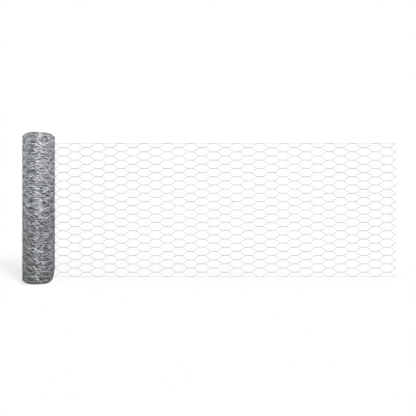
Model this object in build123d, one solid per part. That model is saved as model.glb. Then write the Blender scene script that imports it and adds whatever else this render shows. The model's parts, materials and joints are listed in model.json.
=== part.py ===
"""A roll of hexagonal wire netting that stands on its end, with a length of it drawn off.

Frame: Z is the roll's axis and points up, and z = 0 is the floor. The drawn-off length leaves
the roll's back along a tangent and runs towards +X. All sizes are millimetres.
"""

from build123d import *
import math
import os

# The netting, drawn taut: 24 inches wide, sixteen meshes of an inch and a half, 1.2 mm wire.
NET_WIDTH = 609.6
MESHES_ACROSS = 16
WIRE = 1.2
REPEAT = 105.6
TWIST_LENGTH = 30.0

# The roll: its turns are slack, and slack netting is wider than where it is drawn taut.
ROLL_RADIUS = 70.0
BORE_RADIUS = 19.0
ROLL_HEIGHT = 665.0
# How far each ring of turns stops short of the roll's two ends, from the bore outwards.
RING_DROPS = (0.0, 3.0, 0.0, 5.0, 13.0)

# The length that is drawn off. Its lower selvedge hangs clear of the floor, because the netting
# narrows evenly towards its middle. It is counted in half repeats, from one column of twists to
# the next.
DRAWN_FOOT = 19.4
COLUMNS = 30
COLUMNS_A_PANEL = 15
CUT_STUB = 3.0

# Worked out from the sizes above.
ROW_PITCH = (NET_WIDTH - 2 * WIRE) / MESHES_ACROSS
HALF_REPEAT = REPEAT / 2
SLANT_RUN = HALF_REPEAT - TWIST_LENGTH
SLANT_ANGLE = math.atan2(ROW_PITCH / 2, SLANT_RUN)
FIRST_COLUMN = SLANT_RUN + TWIST_LENGTH / 2
DRAWN_END = FIRST_COLUMN + COLUMNS * HALF_REPEAT - TWIST_LENGTH / 2 + CUT_STUB


def ring_radii():
    """The radii between which the rings of turns lie, from the bore to the outside."""
    step = (ROLL_RADIUS - BORE_RADIUS) / len(RING_DROPS)
    return [BORE_RADIUS + step * n for n in range(len(RING_DROPS) + 1)]


def end_outline(heights):
    """The stepped outline of one end: a flat land for each ring, and a riser between two."""
    radii = ring_radii()
    points = []
    for inner, outer, height in zip(radii, radii[1:], heights):
        points += [(inner, height), (outer, height)]
    return points


def rolled_netting():
    """The rolled turns as one turned solid, with the bore and the uneven rings on both ends."""
    tops = [ROLL_HEIGHT - drop for drop in RING_DROPS]
    outline = end_outline(RING_DROPS) + end_outline(tops)[::-1]
    section = Plane.XZ * make_face(Polyline(*outline, close=True))
    return revolve(section, Axis.Z)


def mesh_window(whole=True):
    """One hexagonal mesh, or the upper half of it, as the opening between its wires.

    A twist is two wires wide and a slanting wire is one, so the opening's flat sides lie a whole
    wire from the middle of the twists, and its slanting sides half a wire from the slants.
    """
    tip = HALF_REPEAT - TWIST_LENGTH / 2 - WIRE / 2 / math.sin(SLANT_ANGLE)
    flat = ROW_PITCH / 2 - WIRE
    corner = tip - flat / math.tan(SLANT_ANGLE)
    upper = [(tip, 0), (corner, flat), (-corner, flat), (-tip, 0)]
    lower = [(-corner, -flat), (corner, -flat)] if whole else []
    return make_face(Polyline(*upper, *lower, close=True))


def column_windows(column):
    """The openings of one column: whole meshes, and half ones where a selvedge cuts them."""
    x = FIRST_COLUMN + column * HALF_REPEAT
    first_row = WIRE
    whole = mesh_window()
    if column % 2 == 0:
        rows = [first_row + ROW_PITCH * (row + 0.5) for row in range(MESHES_ACROSS)]
        return [Pos(x, y) * whole for y in rows]
    rows = [first_row + ROW_PITCH * row for row in range(1, MESHES_ACROSS)]
    half = mesh_window(whole=False)
    foot = Pos(x, first_row) * half
    top = Pos(x, NET_WIDTH - first_row) * Rot(Z=180) * half
    return [foot, *(Pos(x, y) * whole for y in rows), top]


def panel_edges():
    """Where the drawn-off length is divided: at the tangent, mid-way in a twist, at the cut end."""
    inner = [
        FIRST_COLUMN + HALF_REPEAT * column
        for column in range(COLUMNS_A_PANEL, COLUMNS, COLUMNS_A_PANEL)
    ]
    return [0.0, *inner, DRAWN_END]


def drawn_panel(start, end):
    """A stretch of the flat netting: its wires fused where they cross, with both selvedges."""
    columns = range(-1, COLUMNS + 1)
    near = [
        column
        for column in columns
        if start - HALF_REPEAT < FIRST_COLUMN + column * HALF_REPEAT < end + HALF_REPEAT
    ]
    windows = [window for column in near for window in column_windows(column)]
    sheet = Pos(start, 0) * Rectangle(end - start, NET_WIDTH, align=(Align.MIN, Align.MIN))
    lattice = sheet - windows
    behind_roll = Plane(origin=(0, ROLL_RADIUS, DRAWN_FOOT), x_dir=(1, 0, 0), z_dir=(0, -1, 0))
    return extrude(behind_roll * lattice, amount=-WIRE)


def write(name, shape):
    """Writes one node and prints what it measures."""
    export_step(shape, f"parts/{name}.step")
    size = shape.bounding_box().size
    print(name, [round(side, 1) for side in size], "mm", round(shape.volume), "mm3")


def main():
    os.makedirs("parts", exist_ok=True)
    write("rolled_netting", rolled_netting())
    edges = panel_edges()
    for number, (start, end) in enumerate(zip(edges, edges[1:]), 1):
        write(f"drawn_netting_{number}", drawn_panel(start, end))


main()
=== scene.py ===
"""A roll of hexagonal wire netting that stands on its end, with a length of it drawn off flat.

One twisted joint of two wires is modelled, arrayed into a flat strip with its two selvedges, and
a strip that belongs to the roll is then wound on the roll's spiral. Everything is in metres, in
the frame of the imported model: Z is the roll's axis, and the drawn-off length runs towards +X.
"""

import json
import logging
import math
from dataclasses import dataclass
from enum import Enum

import bpy
import numpy as np
from mathutils import Matrix, Vector


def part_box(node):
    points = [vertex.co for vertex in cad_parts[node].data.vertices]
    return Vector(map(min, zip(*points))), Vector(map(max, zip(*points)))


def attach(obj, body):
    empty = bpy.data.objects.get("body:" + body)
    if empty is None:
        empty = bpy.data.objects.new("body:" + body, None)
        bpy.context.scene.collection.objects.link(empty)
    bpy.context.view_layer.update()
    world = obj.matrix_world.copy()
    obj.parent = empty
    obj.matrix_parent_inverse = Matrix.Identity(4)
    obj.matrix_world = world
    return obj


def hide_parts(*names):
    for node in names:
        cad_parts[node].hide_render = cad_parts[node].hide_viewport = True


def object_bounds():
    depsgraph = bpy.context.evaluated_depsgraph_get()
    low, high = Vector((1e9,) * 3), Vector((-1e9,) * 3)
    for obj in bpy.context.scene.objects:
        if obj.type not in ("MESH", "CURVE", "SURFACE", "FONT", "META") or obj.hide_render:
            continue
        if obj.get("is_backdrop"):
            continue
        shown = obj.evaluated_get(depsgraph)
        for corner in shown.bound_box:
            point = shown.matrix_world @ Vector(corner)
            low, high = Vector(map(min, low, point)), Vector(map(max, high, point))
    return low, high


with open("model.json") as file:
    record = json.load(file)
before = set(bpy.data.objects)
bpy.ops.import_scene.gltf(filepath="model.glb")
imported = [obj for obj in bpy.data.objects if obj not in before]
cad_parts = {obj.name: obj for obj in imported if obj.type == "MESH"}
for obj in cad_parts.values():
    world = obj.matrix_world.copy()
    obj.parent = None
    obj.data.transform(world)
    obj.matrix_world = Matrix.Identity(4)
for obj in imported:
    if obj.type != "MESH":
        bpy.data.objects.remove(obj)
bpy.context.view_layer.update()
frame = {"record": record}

log = logging.getLogger("wire_netting")
MM = 0.001

Colour = tuple[float, float, float, float]
Socket = bpy.types.NodeSocket
# What a node's socket can be fed: another socket, or a plain value.
Fed = Socket | float | tuple[float, ...]


def deselect_all() -> None:
    """Leaves edit mode and selects nothing."""
    if bpy.context.object and bpy.context.object.mode != "OBJECT":
        bpy.ops.object.mode_set(mode="OBJECT")
    for obj in list(bpy.context.selected_objects):
        obj.select_set(False)


def make_active(obj: bpy.types.Object) -> None:
    """Selects one object alone and makes it the active one.

    Args:
        obj: The object that the next operators act on.
    """
    deselect_all()
    obj.select_set(True)
    bpy.context.view_layer.objects.active = obj


def new_mesh_object(name: str) -> bpy.types.Object:
    """Adds an empty mesh object at the origin and makes it the active one.

    Args:
        name: The name of the object and of its mesh.

    Returns:
        The new object.
    """
    obj = bpy.data.objects.new(name, bpy.data.meshes.new(name))
    bpy.context.collection.objects.link(obj)
    make_active(obj)
    return obj


def apply_modifier(obj: bpy.types.Object, modifier: bpy.types.Modifier) -> None:
    """Applies a modifier to its object's mesh."""
    make_active(obj)
    bpy.ops.object.modifier_apply(modifier=modifier.name)


def read_points(obj: bpy.types.Object) -> np.ndarray:
    """Reads where a mesh's vertices are.

    Args:
        obj: The mesh object.

    Returns:
        One row of x, y and z for each vertex.
    """
    flat = np.empty(len(obj.data.vertices) * 3)
    obj.data.vertices.foreach_get("co", flat)
    return flat.reshape(-1, 3)


def write_points(obj: bpy.types.Object, points: np.ndarray) -> None:
    """Moves a mesh's vertices to the places given by rows of x, y and z."""
    obj.data.vertices.foreach_set("co", points.ravel())
    obj.data.update()


def fading(share: np.ndarray) -> np.ndarray:
    """Returns 1 where share is 0, easing down to 0 where it is 1 or more."""
    return 0.5 + 0.5 * np.cos(np.clip(share, 0, 1) * math.pi)


def bore_radius() -> float:
    """Returns the radius of the roll's bore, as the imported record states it."""
    bore = next(mount for mount in frame["record"]["mounts"] if mount["name"] == "bore")
    return bore["dims"]["r_mm"] * MM


def dress(piece: bpy.types.Object, finish: bpy.types.Material, node: str) -> None:
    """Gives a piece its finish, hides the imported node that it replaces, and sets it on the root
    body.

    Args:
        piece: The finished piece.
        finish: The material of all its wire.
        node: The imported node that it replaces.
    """
    piece.data.materials.append(finish)
    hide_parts(node)
    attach(piece, "root")


@dataclass(frozen=True)
class Netting:
    """The netting's own sizes where it is drawn taut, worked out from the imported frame."""

    # The wire's thickness, the width over both selvedges, the lower one's height above the floor,
    # where the netting's front lies across, and where its cut end is.
    wire: float
    width: float
    foot: float
    plane: float
    drawn_end: float
    # How many meshes there are across, how long one repeat of them is, and how long a twist.
    meshes: int = 16
    repeat: float = 105.6 * MM
    twist: float = 30.0 * MM
    # The straight wire along each selvedge is finer than the wire of the mesh.
    selvedge_share: float = 0.6

    @classmethod
    def from_frame(cls) -> "Netting":
        """Reads the netting's width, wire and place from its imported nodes.

        Returns:
            The netting, with the height of its lower edge, the plane that its front lies in and
            the place of its cut end.
        """
        low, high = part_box("drawn_netting_1")
        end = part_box("drawn_netting_2")[1]
        return cls(
            wire=high[1] - low[1],
            width=high[2] - low[2],
            foot=low[2],
            plane=low[1],
            drawn_end=end[0],
        )

    @property
    def row_pitch(self) -> float:
        """From one row of twists to the next of the same column."""
        return (self.width - 2 * self.wire) / self.meshes

    @property
    def half_repeat(self) -> float:
        """From one column of twists to the next."""
        return self.repeat / 2

    @property
    def slant_run(self) -> float:
        """How far a slanting wire runs along the netting."""
        return self.half_repeat - self.twist

    @property
    def slant_rise(self) -> float:
        """How far a slanting wire rises across the netting."""
        return self.row_pitch / 2 - self.wire

    @property
    def slant_angle(self) -> float:
        """The angle between a slanting wire and the twists."""
        return math.atan2(self.slant_rise, self.slant_run)

    @property
    def first_column(self) -> float:
        """The place along the netting of the first column of twists past the tangent."""
        return self.slant_run + self.twist / 2


@dataclass(frozen=True)
class WireDetail:
    """How finely a wire is modelled.

    A wire with turns is laid round its fellow in each twist. One without lies straight beside it.
    The straight wire of a selvedge has more steps where it has to follow the roll's curve. A wire
    of few sides is a little fatter at its corners, so that it covers what a round one does: reach
    is how far they lie from its middle, where 1 is a round wire's skin.
    """

    sides: int
    turns: int
    twist_steps: int
    selvedge_steps: int
    reach: float


class Detail(Enum):
    """The choice of detail, by how much of the wire shows."""

    OPEN = WireDetail(sides=4, turns=2, twist_steps=8, selvedge_steps=1, reach=1.27)
    OUTER = WireDetail(sides=4, turns=2, twist_steps=8, selvedge_steps=4, reach=1.13)
    BURIED = WireDetail(sides=3, turns=0, twist_steps=3, selvedge_steps=4, reach=1.13)


class Edge(Enum):
    """Where a joint sits across the netting: inside it, or on one of its two selvedges.

    The value is the side of the joint's straight wire, or 0 where both of its wires slant.
    """

    INSIDE = 0
    FOOT = -1
    HEAD = 1


@dataclass
class TwistJoint:
    """Two wires twisted round each other, and the halves of the wires that lead to it."""

    netting: Netting
    detail: WireDetail
    edge: Edge = Edge.INSIDE

    # Points that are nearer than this share of a wire lie in the same place.
    same_place: float = 0.01

    def build(self) -> bpy.types.Object:
        """Models the joint about the origin, with the twist along X.

        Returns:
            The joint's object, with open ends where the next joints are welded on.
        """
        joint = self._twisted_pair()
        for end in (-1, 1):
            for side in (-1, 1):
                self._lead_out(joint, end, side)
        bpy.ops.mesh.select_all(action="SELECT")
        bpy.ops.mesh.normals_make_consistent(inside=False)
        bpy.ops.object.mode_set(mode="OBJECT")
        return joint

    def _twisted_pair(self) -> bpy.types.Object:
        """Screws the sections of two wires, side by side, along the twist's axis.

        Returns:
            The object that holds the twist alone.
        """
        net = self.netting
        joint = new_mesh_object("joint")
        # The section's flats face the other wire, or its base if it has three sides.
        roll = math.pi / 4 if self.detail.sides == 4 else 0.0
        upright = Matrix.Rotation(roll, 3, "X") @ Matrix.Rotation(math.pi / 2, 3, "Y")
        bpy.ops.object.mode_set(mode="EDIT")
        for side in (-1, 1):
            share = net.selvedge_share if side == self.edge.value else 1.0
            bpy.ops.mesh.primitive_circle_add(
                vertices=self.detail.sides,
                radius=net.wire / 2 * self.detail.reach * share,
                fill_type="NOTHING",
                location=(-net.twist / 2, 0, side * net.wire / 2),
                rotation=upright.to_euler(),
            )
        bpy.ops.object.mode_set(mode="OBJECT")
        screw = joint.modifiers.new("lay", "SCREW")
        screw.axis = "X"
        screw.angle = self.detail.turns * 2 * math.pi
        screw.screw_offset = net.twist
        screw.steps = self.detail.twist_steps
        screw.render_steps = self.detail.twist_steps
        apply_modifier(joint, screw)
        return joint

    def _lead_out(self, joint: bpy.types.Object, end: int, side: int) -> None:
        """Extrudes one wire from the twist's end to half-way to the next twist.

        Args:
            joint: The object that holds the twisted pair.
            end: -1 for the end towards -X, 1 for the other.
            side: -1 for the lower wire, 1 for the upper one.
        """
        net = self.netting
        slants = side != self.edge.value
        angle = net.slant_angle * end * side if slants else 0.0
        run = net.slant_run / 2 if slants else net.half_repeat - net.twist / 2
        rise = net.slant_rise / 2 if slants else 0.0
        steps = 1 if slants else self.detail.selvedge_steps
        place = Vector((end * net.twist / 2, 0, side * net.wire / 2))
        step = Vector((end * run, 0, side * rise)) / steps
        self._select_ring(joint, place, side)
        # Half of the bend is taken at the twist's end and half one step on.
        bpy.ops.transform.rotate(value=angle / 2, orient_axis="Y", center_override=place)
        for number in range(steps):
            bpy.ops.mesh.extrude_region_move(TRANSFORM_OT_translate={"value": step})
            place = place + step
            if number == 0:
                bpy.ops.transform.rotate(value=angle / 2, orient_axis="Y", center_override=place)

    def _select_ring(self, joint: bpy.types.Object, place: Vector, side: int) -> None:
        """Selects the open ring of one wire at the twist's end, in edit mode.

        Args:
            joint: The object that holds the twisted pair.
            place: The middle of the ring.
            side: -1 for the lower wire, 1 for the upper one.
        """
        near = self.netting.wire * self.same_place
        bpy.ops.object.mode_set(mode="EDIT")
        bpy.ops.mesh.select_mode(type="VERT")
        bpy.ops.mesh.select_all(action="DESELECT")
        bpy.ops.object.mode_set(mode="OBJECT")
        for vertex in joint.data.vertices:
            at_end = abs(vertex.co.x - place.x) < near
            vertex.select = at_end and vertex.co.z * side > 0
        bpy.ops.object.mode_set(mode="EDIT")


@dataclass
class FlatStrip:
    """A stretch of flat netting with both selvedges, cut square at its two ends."""

    # It starts and ends at places along the netting, where the tangent is 0 and the roll's
    # netting lies before it.
    name: str
    netting: Netting
    detail: Detail
    start: float
    end: float

    # The ends of two wires are welded where they are nearer than this share of a wire.
    weld: float = 0.05

    def build(self) -> bpy.types.Object:
        """Arrays the joints into the strip, welds them and cuts it to length.

        Returns:
            The strip's object, in the plane y = 0, with its lower edge at z = 0.
        """
        net = self.netting
        inside = TwistJoint(net, self.detail.value).build()
        on_rows = self._arrayed(inside, net.row_pitch, net.meshes - 1, shifted=False)
        between_rows = self._arrayed(inside, net.row_pitch / 2, net.meshes, shifted=True)
        foot = TwistJoint(net, self.detail.value, Edge.FOOT).build()
        head = TwistJoint(net, self.detail.value, Edge.HEAD).build()
        lower = self._arrayed(foot, 0.0, 1, shifted=False)
        upper = self._arrayed(head, net.row_pitch * net.meshes, 1, shifted=False)
        for pattern in (inside, foot, head):
            bpy.data.objects.remove(pattern)
        strip = self._joined([on_rows, between_rows, lower, upper])
        self._cut(strip, self.start, keep=1)
        self._cut(strip, self.end, keep=-1)
        bpy.ops.object.shade_smooth()
        return strip

    def _arrayed(
        self, joint: bpy.types.Object, first_row: float, rows: int, shifted: bool
    ) -> bpy.types.Object:
        """Copies a joint over every second column of the strip.

        Args:
            joint: The joint to copy.
            first_row: The height of the lowest row above the lower selvedge's axis.
            rows: How many rows there are.
            shifted: Whether the joints sit in the columns between those on the selvedges.

        Returns:
            One object that holds all the copies.
        """
        net = self.netting
        offset = net.first_column + (net.half_repeat if shifted else 0.0)
        before = math.floor((self.start - offset) / net.repeat)
        after = math.ceil((self.end - offset) / net.repeat)
        first = Vector((offset + before * net.repeat, 0, net.wire + first_row))
        copy = bpy.data.objects.new(self.name, joint.data.copy())
        bpy.context.collection.objects.link(copy)
        copy.data.transform(Matrix.Translation(first))
        for count, step in (
            (after - before + 1, Vector((net.repeat, 0, 0))),
            (rows, Vector((0, 0, net.row_pitch))),
        ):
            array = copy.modifiers.new("array", "ARRAY")
            array.use_relative_offset = False
            array.use_constant_offset = True
            array.constant_offset_displace = step
            array.count = count
            apply_modifier(copy, array)
        return copy

    def _joined(self, layers: list[bpy.types.Object]) -> bpy.types.Object:
        """Joins the layers of joints into one mesh and welds the wires end to end.

        Args:
            layers: The arrayed joints.

        Returns:
            The strip's object, which reaches past the strip's two ends.
        """
        make_active(layers[0])
        for layer in layers:
            layer.select_set(True)
        bpy.ops.object.join()
        strip = bpy.context.object
        strip.name = self.name
        strip.data.name = self.name
        bpy.ops.object.mode_set(mode="EDIT")
        bpy.ops.mesh.select_all(action="SELECT")
        bpy.ops.mesh.remove_doubles(threshold=self.netting.wire * self.weld)
        bpy.ops.object.mode_set(mode="OBJECT")
        return strip

    def _cut(self, strip: bpy.types.Object, place: float, keep: int) -> None:
        """Cuts the strip square and closes the wires' ends.

        Args:
            strip: The strip to cut.
            place: Where along the netting the cut is.
            keep: 1 to keep what is past the cut, -1 to keep what is before it.
        """
        make_active(strip)
        bpy.ops.object.mode_set(mode="EDIT")
        bpy.ops.mesh.select_all(action="SELECT")
        bpy.ops.mesh.bisect(
            plane_co=(place, 0, 0),
            plane_no=(keep, 0, 0),
            use_fill=True,
            clear_inner=True,
        )
        bpy.ops.object.mode_set(mode="OBJECT")


@dataclass(frozen=True)
class Stray:
    """A smooth random shift to either side, made of a few long waves with seeded places."""

    # The most that it comes to, the seed that gives the same waves in each run, and about how
    # far it is from crest to crest along each coordinate.
    size: float
    seed: int
    wavelengths: tuple[float, ...]
    # How many waves are added up, and their own lengths as shares of the wavelengths above.
    waves: int = 16
    shortest: float = 0.6
    longest: float = 1.6

    def at(self, *coordinates: np.ndarray) -> np.ndarray:
        """Works out the shift at many places at once.

        Args:
            coordinates: One array of the places for each of the wavelengths.

        Returns:
            The shift at each place.
        """
        draw = np.random.default_rng(self.seed)
        heading = draw.normal(size=(self.waves, len(self.wavelengths)))
        heading /= np.linalg.norm(heading, axis=1, keepdims=True)
        number = 2 * math.pi / draw.uniform(self.shortest, self.longest, (self.waves, 1))
        vectors = heading * number / np.array(self.wavelengths)
        phases = draw.uniform(0, 2 * math.pi, self.waves)
        total = np.zeros_like(coordinates[0])
        for vector, phase in zip(vectors, phases):
            total += np.sin(sum(k * c for k, c in zip(vector, coordinates)) + phase)
        # The waves' sum is brought to a spread of about 1, and is then held within 1.
        return self.size * np.tanh(total * math.sqrt(2 / self.waves))


@dataclass
class DrawnLength:
    """The length that is drawn off flat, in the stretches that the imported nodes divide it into."""

    netting: Netting
    finish: bpy.types.Material
    nodes: tuple[str, ...] = ("drawn_netting_1", "drawn_netting_2")

    # How the netting bows, only forward and by up to twice this size, and how far its wires stray
    # along and across the lattice.
    bow: Stray = Stray(0.75 * MM, 11, (0.5, 0.5))
    along: Stray = Stray(0.35 * MM, 12, (0.09, 0.09))
    across: Stray = Stray(0.35 * MM, 13, (0.09, 0.09))

    def build(self) -> list[bpy.types.Object]:
        """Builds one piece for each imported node, with the slight waves of drawn netting.

        Returns:
            The pieces, from the roll outwards.
        """
        pieces = []
        for node in self.nodes:
            low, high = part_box(node)
            name = node.replace("netting", "length")
            strip = FlatStrip(name, self.netting, Detail.OPEN, low[0], high[0]).build()
            self._settle(strip)
            dress(strip, self.finish, node)
            pieces.append(strip)
        return pieces

    def _settle(self, strip: bpy.types.Object) -> None:
        """Puts a strip in its plane and lets its wires stray a little from the true lattice.

        Args:
            strip: The flat strip, in the plane y = 0.
        """
        net = self.netting
        x, y, z = read_points(strip).T
        # The roll holds the netting still at the tangent, and its edges stay in the frame's box.
        free = np.clip(x / net.repeat, 0, 1)
        inner = np.clip(np.minimum(z, net.width - z) / net.row_pitch, 0, 1)
        end = np.clip((net.drawn_end - x) / net.repeat, 0, 1)
        placed = np.stack(
            (
                x + self.along.at(x, z) * free * end,
                y + net.plane - (self.bow.size + self.bow.at(x, z)) * free,
                z + net.foot + self.across.at(x, z) * free * inner,
            ),
            axis=1,
        )
        write_points(strip, placed)


@dataclass
class RolledTurns:
    """The turns of the roll: one long strip wound from the tangent inwards to the bore."""

    netting: Netting
    finish: bpy.types.Material
    outer_radius: float
    bore_radius: float
    height: float

    # The length in the roll, measured taut, and how much shorter slack netting is.
    rolled_length: float = 13.63
    slack: float = 0.973
    # How far in along the netting each piece begins, and how finely its wire is modelled.
    starts: tuple[float, ...] = (0.0, 2.4, 4.8, 9.2)
    details: tuple[Detail, ...] = (Detail.OUTER, Detail.OUTER, Detail.BURIED, Detail.BURIED)
    # The outer turns lie closer together than the inner ones: 1 would be an even spiral.
    tightening: float = 2.3
    # The angle over which the flat netting bends in, and the turns over which it gets slack.
    bend_in: float = math.pi / 3
    slackening: float = 0.5
    # How far the outermost turn stops short of the roll's ends, the radius from which turns do,
    # and the power by which it grows from there.
    shoulder_drop: float = 16 * MM
    shoulder_radius: float = 48 * MM
    shoulder_curve: float = 1.5
    # How far the turns' selvedges stray. The upper one does as the lower one would many turns on.
    end_stray: Stray = Stray(1.5 * MM, 21, (1.3,))
    head_turns_on: float = 50.0
    # How far columns stray, and how far rows do over a turn or more and from mesh to mesh.
    column_stray: Stray = Stray(4 * MM, 22, (0.14, 0.14))
    row_drift: Stray = Stray(10 * MM, 23, (1.1, 0.5))
    row_stray: Stray = Stray(5 * MM, 24, (0.15, 0.15))
    # The share of the netting's width, in from each selvedge, over which rows begin to stray.
    stray_margin: float = 1 / 6
    # One side of the roll's foot is drawn in: how far, up to what height, and facing where.
    toe_depth: float = 17 * MM
    toe_height: float = 75 * MM
    toe_facing: float = math.radians(12)
    # How quickly that fades upwards, round the roll, and inwards.
    toe_up_curve: float = 2.0
    toe_round_curve: float = 1.5
    toe_in_curve: float = 2.0

    def __post_init__(self) -> None:
        """Works out the spiral from the length that has to fit in the roll."""
        wire = self.netting.wire
        self._outermost = self.outer_radius - wire
        self._innermost = self.bore_radius + wire
        ring = math.pi * (self._outermost**2 - self._innermost**2)
        self._pitch = ring / (self.rolled_length * self.slack)
        self._turns = (self._outermost - self._innermost) / self._pitch

    def build(self) -> list[bpy.types.Object]:
        """Builds the turns as pieces of a few turns each, the outer ones in more detail.

        Returns:
            The pieces, from the outside inwards.
        """
        pieces = []
        ends = (*self.starts[1:], self.rolled_length)
        for number, (near, far, detail) in enumerate(zip(self.starts, ends, self.details), 1):
            strip = FlatStrip(f"rolled_turns_{number}", self.netting, detail, -far, -near).build()
            self._wind(strip)
            dress(strip, self.finish, "rolled_netting")
            pieces.append(strip)
        return pieces

    def _wind(self, strip: bpy.types.Object) -> None:
        """Winds a flat strip on the spiral and gives each turn its own reach up and down.

        Args:
            strip: The flat strip, which lies before the tangent, at negative x.
        """
        x, y, z = read_points(strip).T
        share = z / self.netting.width
        # Nothing strays at the selvedges, or where the netting runs on into the flat length: wound
        # is 0 there, and 1 from half a turn on.
        inner = np.clip(np.minimum(share, 1 - share) / self.stray_margin, 0, 1)
        wound = np.clip(-x / (math.pi * self.outer_radius), 0, 1)
        length = -x * self.slack + self.column_stray.at(x, z) * wound
        turned = self._turned(np.maximum(length, 0))
        radius = self._radius(turned)
        low, high = self._reach(turned, radius)
        height = low + (high - low) * share
        height += (self.row_drift.at(x, z) + self.row_stray.at(x, z)) * inner * wound
        # The tangent is at the roll's back, a quarter turn on from +X.
        angle = math.pi / 2 + turned
        radius = radius + y
        radius = radius - self._toe(angle, radius, height)
        placed = np.stack((radius * np.cos(angle), radius * np.sin(angle), height), axis=1)
        write_points(strip, placed)

    def _turned(self, length: np.ndarray) -> np.ndarray:
        """Returns the angle wound at each length of slack netting, both from the tangent on."""
        square = self._outermost**2 - self._pitch * length / math.pi
        return (self._outermost - np.sqrt(np.maximum(square, 0))) * 2 * math.pi / self._pitch

    def _radius(self, turned: np.ndarray) -> np.ndarray:
        """Works out the spiral's radius, eased in from the flat netting's plane.

        Args:
            turned: The angles wound, from the tangent on.

        Returns:
            The radius at each angle.
        """
        share = np.clip(turned / (2 * math.pi * self._turns), 0, 1)
        depth = (self._outermost - self._innermost) * share**self.tightening
        lead = (self.outer_radius - self._outermost) * fading(turned / self.bend_in)
        return self._outermost - depth + lead

    def _reach(self, turned: np.ndarray, radius: np.ndarray) -> tuple[np.ndarray, np.ndarray]:
        """Works out the heights of a turn's lower and upper selvedges.

        The outer turns stop short of the roll's ends, and the outermost half turn narrows to the
        width of the taut netting.

        Args:
            turned: The angles wound, from the tangent on.
            radius: The spiral's radius at each of them.

        Returns:
            The heights of the lower selvedge and those of the upper one.
        """
        net = self.netting
        shoulder = (radius - self.shoulder_radius) / (self.outer_radius - self.shoulder_radius)
        drop = self.shoulder_drop * np.clip(shoulder, 0, 1) ** self.shoulder_curve
        drop = drop + self.end_stray.size
        turns = turned / (2 * math.pi)
        low = drop + self.end_stray.at(turns)
        high = self.height - drop - self.end_stray.at(turns + self.head_turns_on)
        taut = fading(turns / self.slackening)
        low = low + (net.foot - low) * taut
        high = high + (net.foot + net.width - high) * taut
        return np.maximum(low, 0), np.minimum(high, self.height)

    def _toe(self, angle: np.ndarray, radius: np.ndarray, height: np.ndarray) -> np.ndarray:
        """Works out how far the foot is drawn in on its one side.

        Args:
            angle: The places' angles round the roll's axis.
            radius: How far they are from it.
            height: How high they are.

        Returns:
            How far each place moves towards the axis.
        """
        up = np.clip(1 - height / self.toe_height, 0, 1)
        facing = np.clip(np.cos(angle - self.toe_facing), 0, 1)
        out = np.clip((radius - self.bore_radius) / (self.outer_radius - self.bore_radius), 0, 1)
        fade = up**self.toe_up_curve * facing**self.toe_round_curve * out**self.toe_in_curve
        return self.toe_depth * fade


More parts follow.
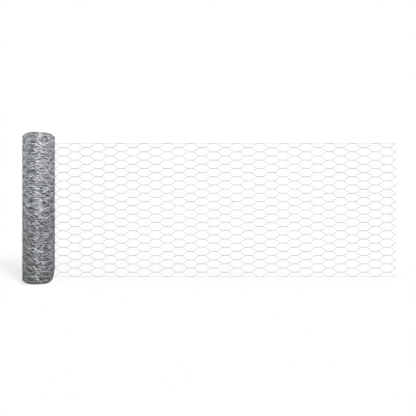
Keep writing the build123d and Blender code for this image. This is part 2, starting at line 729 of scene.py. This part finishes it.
class NodeSketch:
    """Adds and links the nodes of one material, world or node group."""

    def __init__(self, tree: bpy.types.NodeTree) -> None:
        """Takes the tree that the nodes go into."""
        self.nodes = tree.nodes
        self.links = tree.links

    def feed(self, socket: Socket, value: Fed) -> None:
        """Links a socket to another one, or gives it a plain value.

        Args:
            socket: The socket that is fed.
            value: The socket to link it to, or its value.
        """
        if isinstance(value, bpy.types.NodeSocket):
            self.links.new(value, socket)
        else:
            socket.default_value = value

    def fed_node(self, kind: str, values: tuple[Fed, ...]) -> bpy.types.Node:
        """Adds a node and feeds its first sockets.

        Args:
            kind: Blender's own name for the node.
            values: What its sockets are fed, in their order.

        Returns:
            The new node.
        """
        node = self.nodes.new(kind)
        for socket, value in zip(node.inputs, values):
            self.feed(socket, value)
        return node

    def math(self, operation: str, *values: Fed) -> Socket:
        """Adds a Math node.

        Args:
            operation: What it does with the values.
            values: One to three values.

        Returns:
            Its result.
        """
        node = self.fed_node("ShaderNodeMath", values)
        node.operation = operation
        return node.outputs[0]

    def vector_math(self, operation: str, *values: Fed) -> bpy.types.Node:
        """Adds a Vector Math node.

        Args:
            operation: What it does with the vectors.
            values: One or two vectors.

        Returns:
            The node, whose result is its output Vector or Value.
        """
        node = self.fed_node("ShaderNodeVectorMath", values)
        node.operation = operation
        return node

    def dot(self, first: Fed, second: Fed) -> Socket:
        """Returns the dot product of two vectors."""
        return self.vector_math("DOT_PRODUCT", first, second).outputs["Value"]

    def off_axis(self, position: Socket) -> Socket:
        """Returns how far a position is from the Z axis."""
        flat = self.vector_math("MULTIPLY", position, (1, 1, 0)).outputs["Vector"]
        return self.vector_math("LENGTH", flat).outputs["Value"]

    def object_position(self) -> Socket:
        """Returns the position in the object's own coordinates."""
        return self.nodes.new("ShaderNodeTexCoord").outputs["Object"]

    def noise(self, vector: Socket, detail: float) -> Socket:
        """Adds a noise that repeats about once a unit.

        Args:
            vector: Where the noise is read.
            detail: How many finer layers it has.

        Returns:
            The noise, which is mostly between 0.3 and 0.7.
        """
        node = self.nodes.new("ShaderNodeTexNoise")
        self.feed(node.inputs["Vector"], vector)
        self.feed(node.inputs["Scale"], 1.0)
        self.feed(node.inputs["Detail"], detail)
        return node.outputs["Fac"]

    def patches(self, size: float) -> Socket:
        """Adds a noise in patches of about one size all over the object.

        Args:
            size: How far it is from one patch to the next.

        Returns:
            The noise, which is mostly between 0.3 and 0.7.
        """
        scale = (1 / size, 1 / size, 1 / size)
        scaled = self.vector_math("MULTIPLY", self.object_position(), scale).outputs["Vector"]
        return self.noise(scaled, detail=2.0)

    def spread(
        self,
        value: Socket,
        low: Fed = 0.0,
        high: Fed = 1.0,
        to_low: float = 0.0,
        to_high: float = 1.0,
    ) -> Socket:
        """Maps low to to_low and high to to_high, evenly between and level outside them."""
        node = self.fed_node("ShaderNodeMapRange", (value, low, high, to_low, to_high))
        return node.outputs["Result"]

    def mix(self, share: Fed, first: Fed, second: Fed, blend: str = "MIX") -> Socket:
        """Adds a blend of two colours.

        Args:
            share: How much of the second colour there is.
            first: The colour where share is 0.
            second: The colour that is blended over it.
            blend: Blender's own name for the way they blend.

        Returns:
            The blended colour.
        """
        node = self.nodes.new("ShaderNodeMix")
        node.data_type = "RGBA"
        node.blend_type = blend
        # A Mix node has a set of sockets for each kind of data, alike in name.
        inlets = {socket.identifier: socket for socket in node.inputs}
        outlets = {socket.identifier: socket for socket in node.outputs}
        self.feed(inlets["Factor_Float"], share)
        self.feed(inlets["A_Color"], first)
        self.feed(inlets["B_Color"], second)
        return outlets["Result_Color"]

    def seen_directly(self) -> Socket:
        """Adds a mask of the light paths on which a surface is seen and not only gives light.

        Returns:
            1 for the camera, in reflections and through glass, and 0 otherwise.
        """
        path = self.nodes.new("ShaderNodeLightPath")
        seen = path.outputs["Is Camera Ray"]
        for ray in ("Is Glossy Ray", "Is Transmission Ray"):
            seen = self.math("MAXIMUM", seen, path.outputs[ray])
        return seen


def zinc_grain_group() -> bpy.types.NodeTree:
    """Makes the group that gives the fine crystal grain of a zinc coat, or finds it.

    Returns:
        The group, whose grain is between 0 and 1.
    """
    name = "zinc grain"
    if name in bpy.data.node_groups:
        return bpy.data.node_groups[name]
    group = bpy.data.node_groups.new(name, "ShaderNodeTree")
    group.interface.new_socket("Position", in_out="INPUT", socket_type="NodeSocketVector")
    group.interface.new_socket("Grain Size", in_out="INPUT", socket_type="NodeSocketFloat")
    group.interface.new_socket("Grain", in_out="OUTPUT", socket_type="NodeSocketFloat")
    sketch = NodeSketch(group)
    inlet = group.nodes.new("NodeGroupInput")
    outlet = group.nodes.new("NodeGroupOutput")
    crystals = group.nodes.new("ShaderNodeTexVoronoi")
    crystals.feature = "F1"
    sketch.feed(crystals.inputs["Vector"], inlet.outputs["Position"])
    sketch.feed(crystals.inputs["Scale"], sketch.math("DIVIDE", 1.0, inlet.outputs["Grain Size"]))
    # Each crystal has a colour of its own, which is turned into a grey.
    even_shares = (0.333, 0.333, 0.333)
    sketch.feed(outlet.inputs["Grain"], sketch.dot(crystals.outputs["Color"], even_shares))
    return group


def glint_streaks_group() -> bpy.types.NodeTree:
    """Makes the group of painted glints, streaks that follow the wires round the roll, rising or
    falling a little.

    Returns:
        The group. Its streaks are a noise on the angle round the axis, the height and the depth,
        each divided by the streaks' own size. Seen from Facing, they lean away from Level.
    """
    # The lean is painted: it tilts the streaks as glints on the wires tilt under the key light.
    # The streaks get no steeper further than this above and below the level where they run flat.
    lean_reach = 0.2
    group = bpy.data.node_groups.new("turn streaks", "ShaderNodeTree")
    face = group.interface
    face.new_socket("Position", in_out="INPUT", socket_type="NodeSocketVector")
    for name in ("Length", "Height", "Depth", "Level", "Lean", "Facing", "Sweep"):
        face.new_socket(name, in_out="INPUT", socket_type="NodeSocketFloat")
    face.new_socket("Streaks", in_out="OUTPUT", socket_type="NodeSocketFloat")
    sketch = NodeSketch(group)
    inlet = group.nodes.new("NodeGroupInput")
    outlet = group.nodes.new("NodeGroupOutput")
    position = inlet.outputs["Position"]
    turn = group.nodes.new("ShaderNodeVectorRotate")
    turn.rotation_type = "Z_AXIS"
    sketch.feed(turn.inputs["Vector"], position)
    sketch.feed(turn.inputs["Angle"], sketch.math("MULTIPLY", inlet.outputs["Facing"], -1.0))
    turned = turn.outputs["Vector"]
    ahead = sketch.dot(turned, (1, 0, 0))
    aside = sketch.dot(turned, (0, 1, 0))
    height = sketch.dot(turned, (0, 0, 1))
    angle = sketch.math("ARCTAN2", aside, ahead)
    level = sketch.math("SUBTRACT", height, inlet.outputs["Level"])
    swept = sketch.math("ADD", angle, sketch.math("MULTIPLY", level, inlet.outputs["Sweep"]))
    lean = sketch.math("MULTIPLY", sketch.math("COSINE", swept), inlet.outputs["Lean"])
    steep = sketch.spread(level, -lean_reach, lean_reach, -lean_reach, lean_reach)
    bent = sketch.math("SUBTRACT", level, sketch.math("MULTIPLY", steep, lean))
    place = group.nodes.new("ShaderNodeCombineXYZ")
    for socket, way, size in (
        (place.inputs["X"], angle, "Length"),
        (place.inputs["Y"], bent, "Height"),
        (place.inputs["Z"], sketch.off_axis(position), "Depth"),
    ):
        sketch.feed(socket, sketch.math("DIVIDE", way, inlet.outputs[size]))
    sketch.feed(outlet.inputs["Streaks"], sketch.noise(place.outputs["Vector"], detail=0.0))
    return group


@dataclass(frozen=True)
class GalvanisedWire:
    """Zinc-coated steel wire: a bright metal under a dull film that is thicker in places."""

    name: str = "galvanised wire"
    # The bright colour is painted shade: this wire of the drawn length is a darker copy of the same
    # wire in the roll.
    bright: Colour = (0.26, 0.265, 0.273, 1.0)
    dull: Colour = (0.145, 0.147, 0.150, 1.0)
    metallic: float = 0.8
    smoothest: float = 0.40
    roughest: float = 0.58
    # The crystals' size, how far they stand up, and how much they mottle the film.
    grain_size: float = 2.2 * MM
    grain_depth: float = 0.02 * MM
    mottling: float = 0.35
    # The size of the film's blotches, and the noise at which it begins and at which it is full.
    film_size: float = 18 * MM
    film_from: float = 0.38
    film_full: float = 0.62

    def build(self) -> bpy.types.Material:
        """Makes the wire's material.

        Returns:
            The material, which is bright where the film is thin and dull where it is thick; in the
            roll the film also carries painted light and shade.
        """
        material = bpy.data.materials.new(self.name)
        material.use_nodes = True
        sketch = NodeSketch(material.node_tree)
        shader = sketch.nodes["Principled BSDF"]
        shader.inputs["Metallic"].default_value = self.metallic
        grain_node = sketch.nodes.new("ShaderNodeGroup")
        grain_node.node_tree = zinc_grain_group()
        sketch.feed(grain_node.inputs["Position"], sketch.object_position())
        sketch.feed(grain_node.inputs["Grain Size"], self.grain_size)
        grain = grain_node.outputs["Grain"]
        dullness = sketch.math("SUBTRACT", self._dullness(sketch), self.mottling / 2)
        share = sketch.spread(sketch.math("MULTIPLY_ADD", grain, self.mottling, dullness))
        sketch.feed(shader.inputs["Base Color"], self._zinc(sketch, share))
        roughness = sketch.spread(share, to_low=self.smoothest, to_high=self.roughest)
        sketch.feed(shader.inputs["Roughness"], roughness)
        bump = sketch.nodes.new("ShaderNodeBump")
        bump.inputs["Distance"].default_value = self.grain_depth
        sketch.feed(bump.inputs["Height"], grain)
        sketch.feed(shader.inputs["Normal"], bump.outputs["Normal"])
        return material

    def _dullness(self, sketch: NodeSketch) -> Socket:
        """Returns how thick the dull film is, from 0 to 1."""
        return sketch.spread(sketch.patches(self.film_size), self.film_from, self.film_full)

    def _zinc(self, sketch: NodeSketch, share: Socket) -> Socket:
        """Returns the zinc's colour under a share of the dull film."""
        return sketch.mix(share, self.bright, self.dull)


@dataclass(frozen=True, kw_only=True)
class RolledWire(GalvanisedWire):
    """The same wire where it is rolled up: a lighter copy, with painted glints and painted shade."""

    # The roll's own radius and height.
    radius: float
    height: float

    name: str = "galvanised wire in the roll"
    # The bright colour is painted light: far lighter than the drawn length's, it stands for the key
    # light on the roll's front.
    bright: Colour = (0.76, 0.775, 0.815, 1.0)
    dull: Colour = (0.150, 0.152, 0.155, 1.0)
    smoothest: float = 0.52
    roughest: float = 0.68
    film_from: float = 0.400
    film_full: float = 0.660
    # The painted glints' streaks: their length as an angle round the axis, and their height and
    # depth.
    streak_turn: float = 0.36
    streak_height: float = 2.4 * MM
    streak_depth: float = 4.5 * MM
    # The height at which they run flat, how steeply they lean above and below it on the side that
    # faces this way, towards the camera, and how far round that side shifts with the height. The
    # lean is painted: it tilts the streaks the way glints on the wires would tilt.
    streak_level: float = 0.44
    streak_lean: float = 0.36
    streak_facing: float = math.radians(-72)
    streak_sweep: float = 1.3
    # Painted shade by height, added to the film: darker towards the floor and lighter at the
    # roll's top, as the light falls.
    floor_painted_shade: float = 0.37
    top_painted_light: float = -0.25
    # What the two ends' selvedges add to it, and how far in from the ends that fades. At the foot
    # it is painted shade where the roll stands on the floor; at the head the wire is only darker.
    foot_painted_shade: float = 0.10
    head_darkening: float = 0.25
    selvedge_depth: float = 25 * MM
    # Painted light on the outermost wires and painted shade on the buried ones, added to the
    # film, and how deep both lie.
    skin_painted_light: float = -0.12
    buried_painted_shade: float = 0.20
    skin_depth: float = 0.5 * MM
    buried_depth: float = 4.5 * MM
    # A faint olive stain in broad patches, mostly on the side that the vector points to.
    stain: Colour = (0.985, 1.0, 0.965, 1.0)
    stain_size: float = 90 * MM
    stain_side: tuple[float, float, float] = (-5.0, -2.0, -0.6)
    stain_from: float = 0.35
    stain_full: float = 0.75

    def _dullness(self, sketch: NodeSketch) -> Socket:
        """Adds up the film's streaks of painted glints and the painted shade and light that thicken
        or thin it.

        Args:
            sketch: The material's nodes.

        Returns:
            How dull the colour is, where 0 is none and 1 is full: the film, with painted glints,
            shade and light.
        """
        position = sketch.object_position()
        level = sketch.dot(position, (0, 0, 1))
        off_axis = sketch.off_axis(position)
        under_head = self.height - self.selvedge_depth
        buried = self.radius - self.buried_depth
        skin = self.radius - self.skin_depth
        dullness = sketch.spread(self._glint_streaks(sketch, position), self.film_from, self.film_full)
        # Painted shade and light: darker towards the floor, at the foot and in the buried turns,
        # lighter at the top and on the outermost wires; the head is only made darker.
        for part in (
            sketch.spread(level, 0.0, self.height, self.floor_painted_shade, self.top_painted_light),
            sketch.spread(level, 0.0, self.selvedge_depth, self.foot_painted_shade, 0.0),
            sketch.spread(level, under_head, self.height, 0.0, self.head_darkening),
            sketch.spread(off_axis, buried, skin, self.buried_painted_shade, self.skin_painted_light),
        ):
            dullness = sketch.math("ADD", dullness, part)
        return dullness

    def _glint_streaks(self, sketch: NodeSketch, position: Socket) -> Socket:
        """Places the group of painted glint streaks with this finish's own values.

        Args:
            sketch: The material's nodes.
            position: The position on the roll.

        Returns:
            The streaks, as a noise.
        """
        streaks = sketch.nodes.new("ShaderNodeGroup")
        streaks.node_tree = glint_streaks_group()
        for name, value in (
            ("Position", position),
            ("Length", self.streak_turn),
            ("Height", self.streak_height),
            ("Depth", self.streak_depth),
            ("Level", self.streak_level),
            ("Lean", self.streak_lean),
            ("Facing", self.streak_facing),
            ("Sweep", self.streak_sweep),
        ):
            sketch.feed(streaks.inputs[name], value)
        return streaks.outputs["Streaks"]

    def _zinc(self, sketch: NodeSketch, share: Socket) -> Socket:
        """Blends the zinc's colour with the olive stain.

        Args:
            sketch: The material's nodes.
            share: How dull the colour is, from 0 to 1, with the painted light and shade in it.

        Returns:
            The stained colour.
        """
        zinc = super()._zinc(sketch, share)
        side = sketch.dot(sketch.object_position(), self.stain_side)
        sided = sketch.math("ADD", sketch.patches(self.stain_size), side)
        stained = sketch.mix(1.0, zinc, self.stain, "MULTIPLY")
        return sketch.mix(sketch.spread(sided, self.stain_from, self.stain_full), zinc, stained)


@dataclass
class Studio:
    """The pale floor, the soft light and the camera."""

    # The camera looks level along +Y, and stands where the roll and the netting line up as seen.
    camera_place: tuple[float, float, float] = (0.7509, -2.3074, 0.3330)
    lens: float = 45.0
    sensor_width: float = 36.0
    nearest: float = 0.05
    farthest: float = 200.0
    floor_size: float = 60.0
    floor_grey: float = 0.55
    sky_level: float = 0.25
    # The key light's strength, its turn from the camera's line towards +X, its height above the
    # floor and its width in the sky, all three in degrees.
    key_level: float = 3.1
    key_turn: float = 27.0
    key_height: float = 25.0
    key_softness: float = 20.0

    def build(self) -> None:
        """Sets up the floor, the world, the lamp and the camera."""
        self._floor()
        self._world()
        self._key()
        self._camera()
        bpy.context.scene.view_settings.view_transform = "Standard"

    def _floor(self) -> None:
        """Adds the floor, whose glow brings it to white where no shadow falls."""
        deselect_all()
        bpy.ops.mesh.primitive_plane_add(size=self.floor_size)
        floor = bpy.context.object
        floor.name = "floor"
        material = bpy.data.materials.new("floor")
        material.use_nodes = True
        sketch = NodeSketch(material.node_tree)
        sketch.nodes.remove(sketch.nodes["Principled BSDF"])
        grey = self.floor_grey
        matt = sketch.nodes.new("ShaderNodeBsdfDiffuse")
        matt.inputs["Color"].default_value = (grey, grey, grey, 1)
        # The glow makes up for what the floor doesn't send back of the sky's and the key's light.
        key = self.key_level * math.sin(math.radians(self.key_height)) / math.pi
        missing = 1 - grey * (self.sky_level + key)
        glow = sketch.nodes.new("ShaderNodeEmission")
        strength = sketch.math("MULTIPLY", sketch.seen_directly(), missing)
        sketch.feed(glow.inputs["Strength"], strength)
        both = (matt.outputs["BSDF"], glow.outputs["Emission"])
        total = sketch.fed_node("ShaderNodeAddShader", both)
        sketch.feed(sketch.nodes["Material Output"].inputs["Surface"], total.outputs["Shader"])
        floor.data.materials.append(material)
        floor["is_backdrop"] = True

    def _world(self) -> None:
        """Makes a world that is white to the camera and in reflections, and a soft light."""
        world = bpy.data.worlds.new("studio")
        bpy.context.scene.world = world
        world.use_nodes = True
        sketch = NodeSketch(world.node_tree)
        background = sketch.nodes["Background"]
        background.inputs["Color"].default_value = (1, 1, 1, 1)
        strength = sketch.spread(sketch.seen_directly(), to_low=self.sky_level)
        sketch.feed(background.inputs["Strength"], strength)

    def _key(self) -> None:
        """Adds a soft, even key light from near the camera's side."""
        data = bpy.data.lights.new("key", "SUN")
        data.energy = self.key_level
        data.angle = math.radians(self.key_softness)
        lamp = bpy.data.objects.new("key", data)
        bpy.context.collection.objects.link(lamp)
        lamp.rotation_euler = (math.radians(90 - self.key_height), 0, math.radians(self.key_turn))

    def _camera(self) -> None:
        """Adds the level camera and makes it the scene's."""
        data = bpy.data.cameras.new("camera")
        data.lens = self.lens
        data.sensor_width = self.sensor_width
        data.clip_start = self.nearest
        data.clip_end = self.farthest
        camera = bpy.data.objects.new("camera", data)
        bpy.context.collection.objects.link(camera)
        camera.location = self.camera_place
        camera.rotation_euler = (math.pi / 2, 0, 0)
        bpy.context.scene.camera = camera


def main() -> None:
    """Builds the netting, dresses it, and sets up the studio."""
    logging.basicConfig(level=logging.INFO, format="%(name)s %(message)s")
    netting = Netting.from_frame()
    low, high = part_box("rolled_netting")
    radius = high[0]
    height = high[2] - low[2]
    drawn = DrawnLength(netting, GalvanisedWire().build()).build()
    roll_finish = RolledWire(radius=radius, height=height).build()
    rolled = RolledTurns(netting, roll_finish, radius, bore_radius(), height).build()
    for piece in (*drawn, *rolled):
        log.info("%s: %d faces", piece.name, len(piece.data.polygons))
    Studio().build()
    low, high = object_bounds()


if __name__ == "__main__":
    main()
